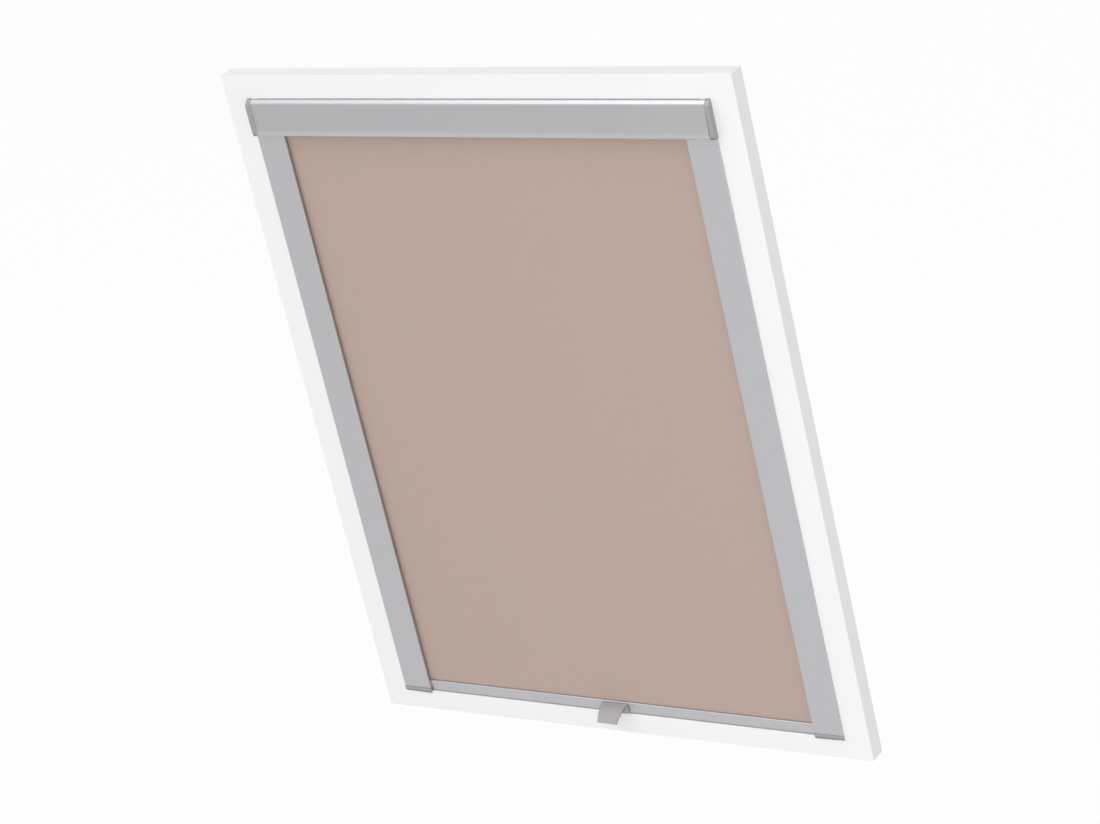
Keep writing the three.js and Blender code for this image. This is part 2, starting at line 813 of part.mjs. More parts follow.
const roller = subGroup(cassette, 0, rollerMiddleY, rollerMiddleZ);
piece(roller, 'roller_tube', tubeGeometry(), aluminium);
piece(roller, 'roller_idler_plug', idlerPlugGeometry(), sliderPlastic);
piece(roller, 'roller_idler_pin', rod(pinRadius, -shaftOuter, pinLength - shaftOuter), steel);
piece(roller, 'roller_bearing_plug', bearingPlugGeometry(), sliderPlastic);
piece(roller, 'spring_shaft', shaftGeometry(), steel);
piece(roller, 'spring_anchor_collar', hubbed(collarRadius, collarInner, collarOuter), darkPlastic);
piece(roller, 'torsion_spring', coilGeometry(springLine), springSteel);
piece(roller, 'spring_drive_plug', drivePlugGeometry(), sliderPlastic);
piece(roller, 'fabric_on_roller', windGeometry(), cloth);

// Side rails with their end caps and screws

function railSection() {
  const back = channelBack + railWall;
  const backEdge = railInner + backFlangeSetback;
  return [
    [railOuter, railFace],
    [railInner, railFace],
    [railInner, channelLip - clearance],
    [railInner + channelLipWall, channelLip - clearance],
    [railInner + channelLipWall, -clearance],
    [webInner, -clearance],
    [webInner, channelBack],
    [backEdge + channelLipWall, channelBack],
    [backEdge + channelLipWall, channelBack - channelLip],
    [backEdge, channelBack - channelLip],
    [backEdge, back],
    [webOuter, back],
    [webOuter, -clearance],
    [railOuter, -clearance],
  ];
}

function railGeometry(side) {
  const section = outline(railSection().map(([x, y]) => [side * x, y]));
  const holes = sideScrewHoles(side, webInner - cutOverrun, webOuter + cutOverrun, railScrewPlaces);
  return cut(alongZ(section, railBottom, railTop), holes);
}

function railCapGeometry(side) {
  const front = railFace - railCapProud;
  const top = railBottom - clearance;
  const floorBottom = sillHeight + clearance;
  const face = alongX(outline([
    [-clearance, bottomMargin],
    [front + railCapTaper, bottomMargin],
    [front, bottomMargin + railCapTaperHeight],
    [front, top],
    [-clearance, top],
  ]), ...onSide(side, railInner, railOuter));
  const elevation = alongY(outline([
    [side * railInner, bottomMargin],
    [side * railOuter, bottomMargin + railCapRise],
    [side * railOuter, top],
    [side * railInner, top],
  ]), front, -clearance);
  const floor = block(
    onSide(side, railInner + backFlangeSetback, webOuter),
    [-clearance - cutOverrun, channelBack + railWall],
    [floorBottom, floorBottom + railCapFloor],
  );
  const legOuter = webInner - clearance;
  const leg = block(
    onSide(side, legOuter - railCapLegWidth, legOuter),
    [0, channelBack - clearance],
    [floorBottom, floorBottom + railCapLegHeight],
  );
  return join([common(face, elevation), floor, leg]);
}

const rails = subGroup(product, 0, 0, 0);
for (const [side, word] of sides) {
  piece(rails, `side_rail_${word}`, railGeometry(side), aluminium);
  piece(rails, `rail_end_cap_${word}`, railCapGeometry(side), darkPlastic);
  placeSideScrews(rails, side, `rail_screw_${word}`, webInner, railScrewPlaces);
}

// Fabric sheet, from the bar's edge rod up to the roller

const rodTop = barBottom + rodMiddle + rodRadius;
piece(product, 'fabric_sheet', block(
  [-fabricHalf, fabricHalf],
  [barMiddle - fabricThickness / 2, barMiddle + fabricThickness / 2],
  [rodTop + clearance, cassetteBottom + rollerMiddleZ - clearance],
), cloth);

// Bottom bar: an extrusion with a chamber for the fabric's edge rod over a hollow for the sliders

const barHalfDepth = barThickness / 2;
const rodChamber = rodRadius + clearance;
const hollowHalf = barHalfDepth - barWall;
const hollowTop = rodMiddle - rodChamber - barWall;

function barGeometry() {
  const slotAngle = Math.asin(barSlot / 2 / rodChamber);
  const mouth = quarterTurn - slotAngle;
  const chamber = Array.from({ length: windSteps / 2 + 1 }, (_, step) => {
    const angle = mouth - ((4 * quarterTurn - 2 * slotAngle) * step) / (windSteps / 2);
    return [rodChamber * Math.cos(angle), rodMiddle + rodChamber * Math.sin(angle)];
  });
  const section = outline([
    [-barHalfDepth, 0],
    [barHalfDepth, 0],
    [barHalfDepth, barHeight - barEase],
    [barHalfDepth - barEase, barHeight],
    [barSlot / 2, barHeight],
    ...chamber,
    [-barSlot / 2, barHeight],
    [-barHalfDepth + barEase, barHeight],
    [-barHalfDepth, barHeight - barEase],
  ]);
  section.holes.push(outline([
    [-hollowHalf, barWall],
    [hollowHalf, barWall],
    [hollowHalf, hollowTop],
    [-hollowHalf, hollowTop],
  ]));
  const screwHoles = handleScrewPlaces.map(([x, z]) => (
    screwHole(handleScrewRadius, -barThickness, barThickness).rotateZ(quarterTurn).translate(x, 0, z)
  ));
  return cut(alongX(section, -barHalf, barHalf), screwHoles);
}

// Sliders run in the rail channels. A sprung pad in each holds the bar where it is left.

const sliderMiddle = (barHalf + clearance + sliderOuter) / 2;
const sliderHalfDepth = sliderThickness / 2;
const pocketFloor = sliderHalfDepth - brakePocketDepth;
const padInner = sliderHalfDepth - brakePadThickness;

function sliderGeometry(side) {
  const headX = onSide(side, barHalf + clearance, sliderOuter);
  const head = alongY(
    roundedRectangle(...headX, 0, barHeight, sliderEase),
    -sliderHalfDepth,
    sliderHalfDepth,
  );
  const tongue = block(
    onSide(side, barHalf - sliderTongue, barHalf + clearance + cutOverrun),
    [-hollowHalf + clearance, hollowHalf - clearance],
    [barWall + clearance, hollowTop - clearance],
  );
  const halfWidth = brakePadWidth / 2 + clearance;
  const halfHeight = brakePadHeight / 2 + clearance;
  const pocket = block(
    onSide(side, sliderMiddle - halfWidth, sliderMiddle + halfWidth),
    [pocketFloor, sliderHalfDepth + cutOverrun],
    [barHeight / 2 - halfHeight, barHeight / 2 + halfHeight],
  );
  return cut(join([head, tongue]), [pocket]);
}

function padGeometry(side) {
  return block(
    onSide(side, sliderMiddle - brakePadWidth / 2, sliderMiddle + brakePadWidth / 2),
    [padInner, sliderHalfDepth],
    [barHeight / 2 - brakePadHeight / 2, barHeight / 2 + brakePadHeight / 2],
  );
}

function leafGeometry(side) {
  const half = brakePadWidth / 2 - clearance;
  const rise = padInner - pocketFloor - 2 * clearance - brakeLeaf;
  const line = Array.from({ length: 2 * arcSteps + 1 }, (_, step) => {
    const share = step / arcSteps - 1;
    return [half * share, pocketFloor + clearance + rise * (1 - share * share)];
  });
  const low = barHeight / 2 - brakePadHeight / 2 + clearance;
  const high = barHeight / 2 + brakePadHeight / 2 - clearance;
  return alongZ(wallAlong(line, brakeLeaf), low, high).translate(side * sliderMiddle, 0, 0);
}

// Handle: a plate on the bar, a curved lip that narrows to its tip, and ribs under the lip

const handleBack = -barHalfDepth - clearance;
const handleFront = handleBack - handleWall;
const handleTop = barHeight - handleTopInset;
const handleTipY = handleBack - handleReach;
const handleScrewZ = (barWall + hollowTop) / 2;
const handleScrewX = handleWidth / 2 - handleScrewInset;
const handleScrewPlaces = [-1, 1].map((side) => [side * handleScrewX, handleScrewZ]);

function lipPoint(share) {
  const swell = 2 * share * (1 - share) * handleSwellShare;
  return [handleBack - handleReach * (swell + share * share), handleTop - handleDrop * share * share];
}

function lipPoints(toShare) {
  return Array.from({ length: 2 * arcSteps + 1 }, (_, step) => lipPoint((toShare * step) / (2 * arcSteps)));
}

function handleGeometry() {
  const half = handleWidth / 2;
  const lip = alongX(wallAlong(lipPoints(1), handleWall, handleTipWall), -half, half);
  const plate = block([-half, half], [handleFront, handleBack], [0, handleTop]);
  const ribShape = outline([
    ...lipPoints(handleRibShare),
    [handleFront - handleRibFoot, 0],
    [handleBack, 0],
  ]);
  const ribOuter = handleScrewX - handleBossRadius - handleRibGap;
  const ribs = [-ribOuter, -handleRib / 2, ribOuter - handleRib].map((from) => (
    alongX(ribShape, from, from + handleRib)
  ));
  const bosses = handleScrewPlaces.map(([x, z]) => (
    rod(handleBossRadius, handleFront - handleBossLength, handleBack, screwSides)
      .rotateZ(quarterTurn).translate(x, 0, z)
  ));
  const halfTip = handleTipWidth / 2;
  const plan = alongZ(outline([
    [-half, handleBack + cutOverrun],
    [half, handleBack + cutOverrun],
    [half, handleFront],
    [halfTip, handleTipY],
    [halfTip, handleTipY - cutOverrun],
    [-halfTip, handleTipY - cutOverrun],
    [-halfTip, handleTipY],
    [-half, handleFront],
  ]), handleTop - handleDrop - handleWall - cutOverrun, handleTop + cutOverrun);
  const holes = handleScrewPlaces.map(([x, z]) => (
    screwHole(handleScrewRadius, handleFront - handleBossLength - cutOverrun, handleBack + cutOverrun)
      .rotateZ(quarterTurn).translate(x, 0, z)
  ));
  return cut(common(join([lip, plate, ...ribs, ...bosses]), plan), holes);
}

const bar = subGroup(product, 0, barMiddle, barBottom);
piece(bar, 'bottom_bar', barGeometry(), aluminium);
piece(bar, 'fabric_edge_rod', rod(rodRadius, -fabricHalf, fabricHalf, screwSides)
  .translate(0, 0, rodMiddle), sliderPlastic);
piece(bar, 'pull_handle', handleGeometry(), handlePlastic);
const handleScrewSeat = barHalfDepth + clearance;
const handleScrewLength = handleScrewSeat - handleFront + handleBossLength - clearance;
handleScrewPlaces.forEach(([x, z], index) => {
  const geometry = screw(
    handleScrewRadius,
    handleScrewHeadRadius,
    handleScrewHeadHeight,
    handleScrewLength,
    handleScrewRadius,
  );
  const mesh = piece(bar, `handle_screw_${sides[index][1]}`, geometry, steel);
  mesh.position.set(x, handleScrewSeat, z);
  mesh.rotation.z = -quarterTurn;
});
for (const [side, word] of sides) {
  piece(bar, `bar_slider_${word}`, sliderGeometry(side), sliderPlastic);
  piece(bar, `brake_pad_${word}`, padGeometry(side), felt);
  piece(bar, `brake_spring_${word}`, leafGeometry(side), springSteel);
}

export default blind;
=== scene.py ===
import json
import math

import bmesh
import bpy
from mathutils import Matrix, Quaternion, Vector
from mathutils.bvhtree import BVHTree


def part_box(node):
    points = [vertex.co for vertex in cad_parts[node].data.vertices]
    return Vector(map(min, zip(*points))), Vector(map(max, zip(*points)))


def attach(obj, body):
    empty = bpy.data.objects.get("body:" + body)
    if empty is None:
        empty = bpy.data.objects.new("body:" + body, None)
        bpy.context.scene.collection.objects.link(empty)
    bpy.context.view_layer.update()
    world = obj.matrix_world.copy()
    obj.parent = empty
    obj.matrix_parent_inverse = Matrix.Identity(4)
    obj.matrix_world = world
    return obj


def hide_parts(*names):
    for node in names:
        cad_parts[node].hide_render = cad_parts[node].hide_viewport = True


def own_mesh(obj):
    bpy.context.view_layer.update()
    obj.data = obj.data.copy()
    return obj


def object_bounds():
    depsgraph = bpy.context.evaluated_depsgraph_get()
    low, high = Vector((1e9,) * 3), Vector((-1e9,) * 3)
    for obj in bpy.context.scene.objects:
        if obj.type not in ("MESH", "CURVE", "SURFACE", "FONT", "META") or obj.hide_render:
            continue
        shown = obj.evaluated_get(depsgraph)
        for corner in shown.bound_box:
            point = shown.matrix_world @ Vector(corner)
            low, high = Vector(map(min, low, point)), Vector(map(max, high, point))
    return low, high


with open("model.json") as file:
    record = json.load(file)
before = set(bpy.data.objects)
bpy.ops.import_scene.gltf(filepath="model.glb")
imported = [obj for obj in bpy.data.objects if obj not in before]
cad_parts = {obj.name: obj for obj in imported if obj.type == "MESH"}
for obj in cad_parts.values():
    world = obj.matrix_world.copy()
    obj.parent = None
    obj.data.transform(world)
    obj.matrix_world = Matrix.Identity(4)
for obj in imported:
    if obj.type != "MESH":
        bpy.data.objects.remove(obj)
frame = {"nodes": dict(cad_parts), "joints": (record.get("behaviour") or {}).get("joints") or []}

cad_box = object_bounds()
scene = bpy.context.scene

# View and light
# The camera stands to the right of the blind and above it, rolled as the photograph is. The room
# is a white studio: an even sky, a broad lamp high at the left, one in front at the right, and a
# pale floor below.

camera_place = Vector((2.17955, -2.89851, 1.98203))
camera_aim = Vector((0.0190, -0.0568, 0.4114))
camera_roll = math.radians(-13.54)
camera_lens = 113.4
camera_reach = 50


def add_object(name, data):
    thing = bpy.data.objects.new(name, data)
    scene.collection.objects.link(thing)
    return thing


def facing(place, aim, roll=0):
    turn = (aim - place).to_track_quat("-Z", "Y") @ Quaternion((0, 0, 1), roll)
    return Matrix.Translation(place) @ turn.to_matrix().to_4x4()


camera = add_object("camera", bpy.data.cameras.new("camera"))
camera.data.lens = camera_lens
camera.data.clip_end = camera_reach
camera.matrix_world = facing(camera_place, camera_aim, camera_roll)
scene.camera = camera
scene.view_settings.view_transform = "Standard"


class Value:
    """A socket's output, which Python's operators turn into Math nodes."""

    def __init__(self, finish, output):
        self.finish = finish
        self.output = output

    def math(self, operation, first, second=0):
        inputs = {0: first, 1: second}
        return self.finish.add("ShaderNodeMath", {"operation": operation}, inputs)

    def __add__(self, other):
        return self.math("ADD", self, other)

    def __sub__(self, other):
        return self.math("SUBTRACT", self, other)

    def __rsub__(self, other):
        return self.math("SUBTRACT", other, self)

    def __mul__(self, other):
        return self.math("MULTIPLY", self, other)

    def __truediv__(self, other):
        return self.math("DIVIDE", self, other)

    def __mod__(self, other):
        return self.math("FLOORED_MODULO", self, other)

    def __gt__(self, other):
        return self.math("GREATER_THAN", self, other)

    def __abs__(self):
        return self.math("ABSOLUTE", self)

    __radd__ = __add__
    __rmul__ = __mul__


class Finish:
    """A material or world that is being built from nodes."""

    def __init__(self, owner):
        owner.use_nodes = True
        self.owner = owner
        self.tree = owner.node_tree
        self.tree.nodes.clear()

    def add(self, kind, settings=None, inputs=None, output=0):
        node = self.tree.nodes.new(kind)
        for name, value in (settings or {}).items():
            setattr(node, name, value)
        for name, value in (inputs or {}).items():
            if isinstance(value, Value):
                self.tree.links.new(value.output, node.inputs[name])
            else:
                node.inputs[name].default_value = value
        return Value(self, node.outputs[output]) if node.outputs else node


def srgb(red, green, blue):
    """A colour as a paint chart gives it, from 0 to 255, made linear for the shaders."""
    shares = (red / 255, green / 255, blue / 255)
    return (*(s / 12.92 if s <= 0.04045 else ((s + 0.055) / 1.055) ** 2.4 for s in shares), 1)


def looks(finish):
    """Whether a ray comes straight from the camera, from a mirror, or through glass."""
    return [finish.add("ShaderNodeLightPath", output=f"Is {kind} Ray")
            for kind in ("Camera", "Glossy", "Transmission")]


def mixed(finish, factor, first, second):
    """A colour between two others."""
    colors = {0: factor, 6: first, 7: second}
    return finish.add("ShaderNodeMix", {"data_type": "RGBA"}, colors, output=2)


studio_white = srgb(255, 255, 255)
sky_strength = 0.74
world = bpy.data.worlds.new("studio")
scene.world = world
sky = Finish(world)
straight, mirrored, through = looks(sky)
seen = (straight + mirrored + through) > 0
sky_glow = sky.add("ShaderNodeBackground", inputs={
    "Color": studio_white,
    "Strength": sky_strength + seen * (1 - sky_strength),
})
sky.add("ShaderNodeOutputWorld", inputs={"Surface": sky_glow})

for name, place, side, power in (
    ("high_lamp", (-1.7, -1.7, 5.06), 2.7, 45),
    ("front_lamp", (2.3, -4.4, 0.5), 2.6, 80),
):
    lamp = add_object(name, bpy.data.lights.new(name, "AREA"))
    lamp.data.size = side
    lamp.data.energy = power
    lamp.matrix_world = facing(Vector(place), camera_aim)

floor_drop = 0.75
floor_reach = 9
floor_white = srgb(254, 254, 254)
floor_grey = srgb(208, 208, 208)
floor_glow_share = 0.9
floor_height = cad_box[0][2] - floor_drop
floor_mesh = bpy.data.meshes.new("floor")
floor_mesh.from_pydata(
    [(x * floor_reach, y * floor_reach, floor_height)
     for x, y in ((-1, -1), (1, -1), (1, 1), (-1, 1))],
    [], [(0, 1, 2, 3)])
floor = add_object("floor", floor_mesh)
floor_finish = Finish(bpy.data.materials.new("pale_floor"))
straight, mirrored, through = looks(floor_finish)
floor_seen = (straight + mirrored + through) > 0
floor_clear = (straight + through) > 0
floor_color = mixed(floor_finish, floor_seen, floor_grey, floor_white)
floor_paint = floor_finish.add("ShaderNodeBsdfDiffuse", inputs={"Color": floor_color})
floor_glow = floor_finish.add("ShaderNodeEmission", inputs={"Color": studio_white})
floor_look = floor_finish.add("ShaderNodeMixShader", inputs={
    0: floor_clear * floor_glow_share,
    1: floor_paint,
    2: floor_glow,
})
floor_finish.add("ShaderNodeOutputMaterial", inputs={"Surface": floor_look})
floor_mesh.materials.append(floor_finish.owner)

# Surround
# The window's frame that the blind is fitted to: two jambs with a head and a sill tenoned between
# them, in timber with a rebate behind the face. The joints are filled and painted over in satin
# white, and sandpaper has taken the sharpness off every arris.

x_axis, y_axis, z_axis = range(3)
weld_distance = 1e-6
same_place = 1e-5
flat_angle = math.radians(1)
ease_from_angle = math.radians(30)
smooth_to_angle = math.radians(40)
arris_radius = 0.0009
head_edge_radius = 0.0003
joint_gap = 0.0003
rebate = 0.016
front_depth = 0.022
paint_light = srgb(246, 246, 247)
paint_dark = srgb(243, 243, 245)
paint_roughness = 0.4
marks_roughness = 0.1
marks_height = 0.00003


def cad_shape(node):
    """The CAD node's faces, welded and without the lines between flat neighbours."""
    shape = bmesh.new()
    shape.from_mesh(frame["nodes"][node].data)
    bmesh.ops.remove_doubles(shape, verts=shape.verts, dist=weld_distance)
    bmesh.ops.dissolve_limit(shape, angle_limit=flat_angle, verts=shape.verts, edges=shape.edges)
    return shape


def is_sharp(edge):
    return edge.is_manifold and edge.calc_face_angle() > ease_from_angle


def ease(shape, radius, steps=3, chosen=lambda edge: True):
    """Rounds the sharp edges that are chosen."""
    edges = [edge for edge in shape.edges if is_sharp(edge) and chosen(edge)]
    bmesh.ops.bevel(shape, geom=edges, offset=radius, segments=steps, profile=0.5,
                    affect="EDGES", clamp_overlap=True)
    bmesh.ops.dissolve_degenerate(shape, dist=weld_distance, edges=shape.edges)
    return shape


def piece(name, shape, body, slot, finish, *nodes):
    """An object made of a shape in its finish. It stands for CAD nodes and moves with a body."""
    for face in shape.faces:
        face.smooth = True
    for edge in shape.edges:
        edge.smooth = edge.calc_face_angle(0) < smooth_to_angle
    data = bpy.data.meshes.new(name)
    shape.to_mesh(data)
    shape.free()
    data.materials.append(finish)
    made = add_object(name, data)
    even = made.modifiers.new("even shading on flats", "WEIGHTED_NORMAL")
    even.keep_sharp = True
    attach(made, body)
    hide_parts(*nodes)
    return made


def new_finish(name):
    """A new material's finish, with the place on the object that its patterns go by."""
    finish = Finish(bpy.data.materials.new(name))
    return finish, finish.add("ShaderNodeTexCoord", output="Object")


def noise(finish, place, scale, detail=2, roughness=0.5):
    return finish.add("ShaderNodeTexNoise", {"normalize": True}, {
        "Vector": place, "Scale": scale, "Detail": detail, "Roughness": roughness,
    })


def bumped(finish, height, distance):
    return finish.add("ShaderNodeBump", inputs={
        "Height": height, "Distance": distance, "Strength": 1,
    })


def surface(finish, inputs):
    """Ends a finish with its Principled shader, and returns the material."""
    shader = finish.add("ShaderNodeBsdfPrincipled", inputs=inputs)
    finish.add("ShaderNodeOutputMaterial", inputs={"Surface": shader})
    return finish.owner


def white_paint():
    """Satin paint with the faint marks of the roller that spread it."""
    finish, place = new_finish("satin_white_paint")
    roller_marks = noise(finish, place, scale=520, detail=3)
    cloudy = noise(finish, place, scale=9)
    return surface(finish, {
        "Base Color": mixed(finish, cloudy, paint_dark, paint_light),
        "Roughness": paint_roughness + roller_marks * marks_roughness,
        "Normal": bumped(finish, roller_marks, marks_height),
    })


satin_white = white_paint()
jamb_low, jamb_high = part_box("surround_jamb_right")
joint_x = jamb_low.x
head_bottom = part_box("surround_head")[0].z
sill_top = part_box("surround_sill")[1].z
arris_planes = (
    (joint_x, jamb_high.x, jamb_high.x - rebate),
    (jamb_low.y, jamb_low.y + front_depth, jamb_high.y),
    (jamb_low.z, jamb_low.z + rebate, sill_top, head_bottom, jamb_high.z - rebate, jamb_high.z),
)


def lies_on(edge, axis, plane):
    return all(abs(v.co[axis] - plane) < same_place for v in edge.verts)


def on_plane(edge, axis):
    """Whether both ends lie on one of the surround's outer planes, left or right alike."""
    ends = [abs(v.co[axis]) if axis == x_axis else v.co[axis] for v in edge.verts]
    return any(all(abs(end - plane) < same_place for end in ends)
               for plane in arris_planes[axis])


def at_joint(edge):
    return lies_on(edge, x_axis, -joint_x) or lies_on(edge, x_axis, joint_x)


def is_arris(edge):
    middle = (edge.verts[0].co.z + edge.verts[1].co.z) / 2
    filled = at_joint(edge) and not sill_top < middle < head_bottom
    return sum(on_plane(edge, axis) for axis in (x_axis, y_axis, z_axis)) > 1 and not filled


def is_head_edge(edge):
    return is_arris(edge) and lies_on(edge, z_axis, head_bottom)


for member in ("head", "sill", "jamb_left", "jamb_right"):
    timber = cad_shape(f"surround_{member}")
    for corner in timber.verts:
        if abs(abs(corner.co.x) - (joint_x - joint_gap)) < same_place:
            corner.co.x = math.copysign(joint_x, corner.co.x)
    for level in (sill_top, head_bottom):
        for edge in [edge for edge in timber.edges if at_joint(edge) and on_plane(edge, y_axis)]:
            foot, top = sorted(edge.verts, key=lambda v: v.co.z)
            if foot.co.z < level < top.co.z:
                bmesh.utils.edge_split(edge, foot, (level - foot.co.z) / (top.co.z - foot.co.z))
    ease(timber, head_edge_radius, chosen=is_head_edge)
    ease(timber, arris_radius, steps=4, chosen=is_arris)
    piece(f"surround_{member}_painted", timber, "window", "white_paint", satin_white,
          f"surround_{member}")

# Side rails
# Two aluminium extrusions, satin anodised. The flat face hides a channel that guides the cloth and
# the bar's slider, with a lip at its mouth that is folded into a hem. Three screws fasten the web
# to the jamb.

rail_ease = 0.00035
rail_lip = 0.0017
rail_hem_depth = 0.0012
rail_hem_width = 0.0011
rail_hem_proud = 0.00002
rail_light = srgb(194, 193, 196)
rail_dark = srgb(189, 188, 191)
line_scale_across = 2600
line_scale_along = 14
line_share = 0.7
line_roughness = 0.08
line_height = 0.000006
mottle_roughness = 0.04
long_edge = 0.1


def stretched(finish, place, factors):
    """Places with each axis scaled by its own factor, for grain that runs one way."""
    return finish.add("ShaderNodeVectorMath", {"operation": "MULTIPLY"}, {0: place, 1: factors})


def blended(first, second, share):
    """One value made of two, of which the first has its share."""
    return first * share + second * (1 - share)


def drawn_aluminium(name, along, light, dark, metallic=0.85, roughness=0.36):
    """Anodised aluminium, with fine lines that run the way the profile was pressed."""
    finish, place = new_finish(name)
    factors = [line_scale_across] * 3
    factors[along] = line_scale_along
    lines = noise(finish, stretched(finish, place, factors), scale=1)
    mottle = noise(finish, place, scale=60, detail=3)
    return surface(finish, {
        "Base Color": mixed(finish, blended(lines, mottle, line_share), dark, light),
        "Metallic": metallic,
        "Roughness": roughness + lines * line_roughness + mottle * mottle_roughness,
        "Normal": bumped(finish, lines, line_height),
    })


def is_long(edge):
    """An edge that runs the length of a profile."""
    return edge.calc_length() > long_edge


rail_aluminium = drawn_aluminium("rail_aluminium", z_axis, rail_light, rail_dark)
for side, outward in (("left", -1), ("right", 1)):
    rail = ease(cad_shape(f"side_rail_{side}"), rail_ease, chosen=is_long)
    rail_low, rail_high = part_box(f"side_rail_{side}")
    mouth = min(abs(rail_low.x), abs(rail_high.x)) - rail_hem_proud
    hem_size = Vector((
        rail_hem_width,
        rail_lip / 2 + rail_hem_depth,
        rail_high.z - rail_low.z - rail_ease,
    ))
    hem_middle = Vector((
        outward * (mouth + rail_hem_width / 2),
        rail_low.y + rail_lip / 2 + hem_size.y / 2,
        (rail_low.z + rail_high.z) / 2,
    ))
    bmesh.ops.create_cube(rail, matrix=Matrix.LocRotScale(hem_middle, None, hem_size))
    piece(f"side_rail_{side}_anodised", rail, "window", "anodised_aluminium", rail_aluminium,
          f"side_rail_{side}")

# Rail end caps
# Grey mouldings that close the lower ends of the rails. Their downward faces are a darker grey,
# which is painted shade. A floor and a leg plug the channel.

rail_cap_ease = 0.00025
rail_cap_light = srgb(169, 167, 170)
rail_cap_dark = srgb(163, 161, 164)
# painted shade: the darker grey of the caps' downward faces
rail_cap_painted_shade = srgb(140, 138, 141)
# faces that turn further down than this get the painted shade
painted_shade_tilt = 0.25
grain_share = 0.4
grain_roughness = 0.08
grain_height = 0.000012


def moulded_plastic(name, light, dark, roughness=0.46, metallic=0.0, painted_shade=None, painted_shade_beside=1):
    """Plastic with the grain of its mould. With a shade colour, faces that turn down, or sideways
    past painted_shade_beside, get that colour as painted shade.
    """
    finish, place = new_finish(name)
    grain = noise(finish, place, scale=4200)
    cloudy = noise(finish, place, scale=110)
    color = mixed(finish, blended(grain, cloudy, grain_share), dark, light)
    if painted_shade:
        normal = finish.add("ShaderNodeTexCoord", output="Normal")
        beside, above = (
            finish.add("ShaderNodeSeparateXYZ", inputs={"Vector": normal}, output=axis)
            for axis in ("X", "Z")
        )
        # Painted shade: downward faces, and sideways ones past the limit, are coloured darker.
        painted_shade_mask = ((0 - above > painted_shade_tilt) + (abs(beside) > painted_shade_beside)) > 0
        color = mixed(finish, painted_shade_mask, color, painted_shade)
    return surface(finish, {
        "Base Color": color,
        "Metallic": metallic,
        "Roughness": roughness + grain * grain_roughness,
        "Normal": bumped(finish, grain, grain_height),
    })


rail_cap_plastic = moulded_plastic("rail_cap_plastic", rail_cap_light, rail_cap_dark,
                                   painted_shade=rail_cap_painted_shade)
for side in ("left", "right"):
    cap = ease(cad_shape(f"rail_end_cap_{side}"), rail_cap_ease)
    piece(f"rail_end_cap_{side}_moulded", cap, "window", "dark_plastic", rail_cap_plastic,
          f"rail_end_cap_{side}")

# Screws
# Zinc-plated pan heads with a cross recess. The shank's thread is a ridge that climbs round it and
# fades towards the point. Three hold each rail, two each bracket, and two hold the handle.

screw_sides = 24
crown_steps = 5
crown_height = 0.0007
thread_rows_per_turn = 6
ridge_share = 0.5
cross_reach_share = 0.5
cross_arm_share = 0.13
cross_floor_share = 0.55
cross_depth_share = 0.6
zinc_light = srgb(182, 184, 187)
zinc_dark = srgb(158, 161, 166)
zinc_roughness = 0.28
crystal_share = 0.5
crystal_height = 0.000006
haze_roughness = 0.12


def plated_steel():
    """Zinc-plated steel: small crystals under a faint haze."""
    finish, place = new_finish("zinc_plated_steel")
    crystals = finish.add("ShaderNodeTexVoronoi", {"feature": "F1"}, {
        "Vector": place, "Scale": 1400,
    })
    haze = noise(finish, place, scale=260, detail=3)
    return surface(finish, {
        "Base Color": mixed(finish, blended(crystals, haze, crystal_share), zinc_dark, zinc_light),
        "Metallic": 0.95,
        "Roughness": zinc_roughness + haze * haze_roughness,
        "Normal": bumped(finish, crystals, crystal_height),
    })


def circle(shape, radius, place, sides):
    """A ring of corners round the X axis."""
    angles = [2 * math.pi * side / sides for side in range(sides)]
    return [shape.verts.new((place, radius * math.cos(a), radius * math.sin(a))) for a in angles]


def skin(shape, rings):
    """Faces between each ring of corners and the next. A ring of one corner is a point."""
    for first, second in zip(rings, rings[1:]):
        count = max(len(first), len(second))
        for side in range(count):
            after = (side + 1) % count
            corners = [first[side % len(first)], first[after % len(first)],
                       second[after % len(second)], second[side % len(second)]]
            shape.faces.new(dict.fromkeys(corners))


def cross_recess(shape, ring, place, head_radius, head_height):
    """Closes a screw head's top with a flat that has a tapering cross sunk into it."""
    arm = head_radius * cross_arm_share
    reach = head_radius * cross_reach_share
    quarter = [(arm, reach), (-arm, reach), (-arm, arm)]
    bottom_place = place + head_height * cross_depth_share
    mouth, bottom = [], []
    for turn in range(4):
        for corner in quarter:
            a, b = Matrix.Rotation(turn * math.pi / 2, 2) @ Vector(corner)
            mouth.append(shape.verts.new((place, a, b)))
            bottom.append(shape.verts.new(
                (bottom_place, a * cross_floor_share, b * cross_floor_share)))
    skin(shape, [mouth, bottom])
    shape.faces.new(bottom)
    edges = [shape.edges.get((corners[i - 1], corners[i]))
             for corners in (ring, mouth) for i in range(len(corners))]
    bmesh.ops.triangle_fill(shape, use_beauty=True, edges=edges)


